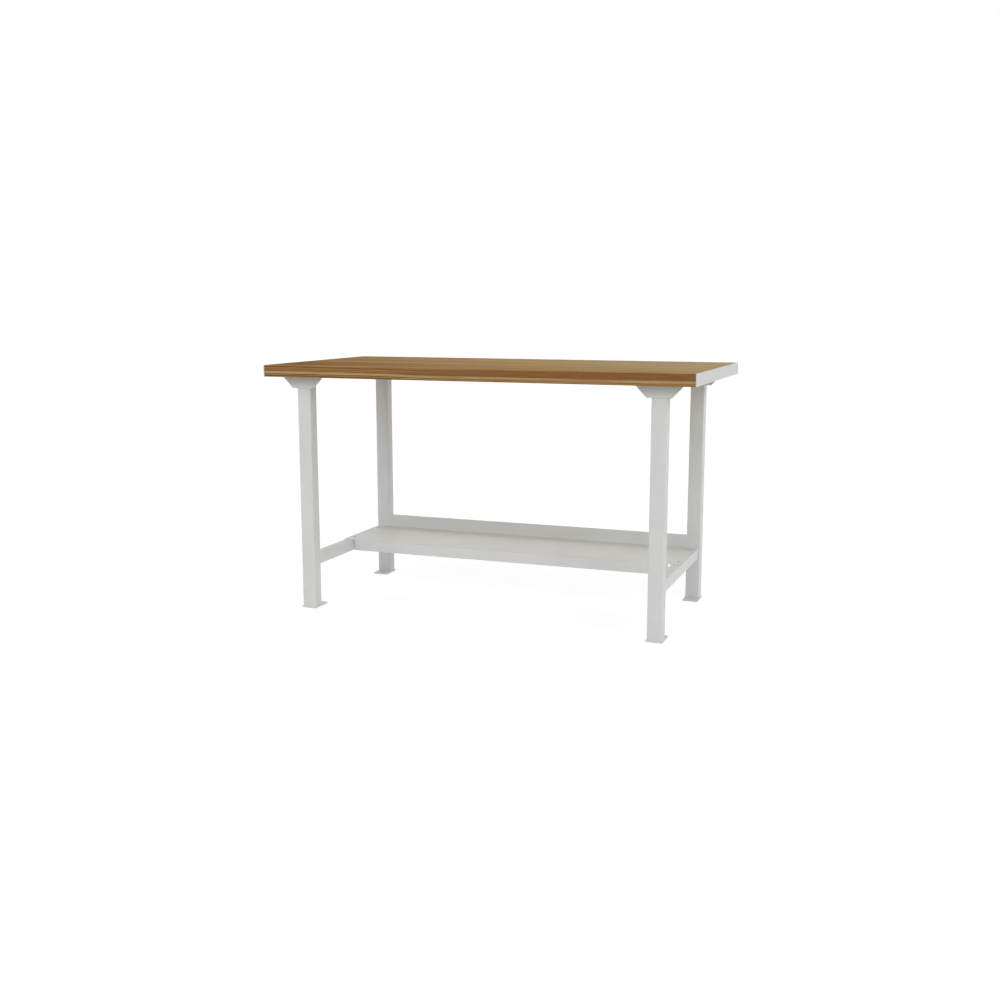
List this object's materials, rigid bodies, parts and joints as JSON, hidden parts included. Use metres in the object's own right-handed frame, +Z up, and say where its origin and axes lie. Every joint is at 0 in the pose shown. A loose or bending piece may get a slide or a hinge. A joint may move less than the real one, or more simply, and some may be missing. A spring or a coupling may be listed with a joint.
{
  "type": "assembly table",
  "caption": "Workshop assembly table: thick wooden worktop on painted steel leg frames with foot plates, joined by side rails that carry a half-depth sheet steel shelf.",
  "frame": {"origin": "on the floor, under the middle of the worktop", "axes": "+X along the worktop to the right as seen from the front, +Y from the front to the back where the shelf is, +Z up"},
  "size_m": [1.5, 0.75, 0.86],
  "materials": {
    "worktop_wood": "oiled laminated hardwood",
    "end_band": "light grey edge band",
    "frame_paint": "light grey powder coat, fine texture",
    "zinc_fastener": "bright zinc plate"
  },
  "bodies": {
    "root": {"worktop": "worktop_wood", "shelf": "frame_paint", "end_band_left": "end_band", "side_rail_left": "frame_paint", "rivet_nut_left_front": "zinc_fastener", "shelf_screw_left_front": "zinc_fastener", "rivet_nut_left_rear": "zinc_fastener", "shelf_screw_left_rear": "zinc_fastener", "end_band_right": "end_band", "side_rail_right": "frame_paint", "rivet_nut_right_front": "zinc_fastener", "shelf_screw_right_front": "zinc_fastener", "rivet_nut_right_rear": "zinc_fastener", "shelf_screw_right_rear": "zinc_fastener", "leg_front_left": "frame_paint", "foot_plate_front_left": "frame_paint", "head_bracket_front_left": "frame_paint", "worktop_screw_front_left_1": "zinc_fastener", "worktop_screw_front_left_2": "zinc_fastener", "worktop_screw_front_left_3": "zinc_fastener", "worktop_screw_front_left_4": "zinc_fastener", "leg_front_right": "frame_paint", "foot_plate_front_right": "frame_paint", "head_bracket_front_right": "frame_paint", "worktop_screw_front_right_1": "zinc_fastener", "worktop_screw_front_right_2": "zinc_fastener", "worktop_screw_front_right_3": "zinc_fastener", "worktop_screw_front_right_4": "zinc_fastener", "leg_rear_left": "frame_paint", "foot_plate_rear_left": "frame_paint", "head_bracket_rear_left": "frame_paint", "worktop_screw_rear_left_1": "zinc_fastener", "worktop_screw_rear_left_2": "zinc_fastener", "worktop_screw_rear_left_3": "zinc_fastener", "worktop_screw_rear_left_4": "zinc_fastener", "leg_rear_right": "frame_paint", "foot_plate_rear_right": "frame_paint", "head_bracket_rear_right": "frame_paint", "worktop_screw_rear_right_1": "zinc_fastener", "worktop_screw_rear_right_2": "zinc_fastener", "worktop_screw_rear_right_3": "zinc_fastener", "worktop_screw_rear_right_4": "zinc_fastener"}
  },
  "joints": []
}
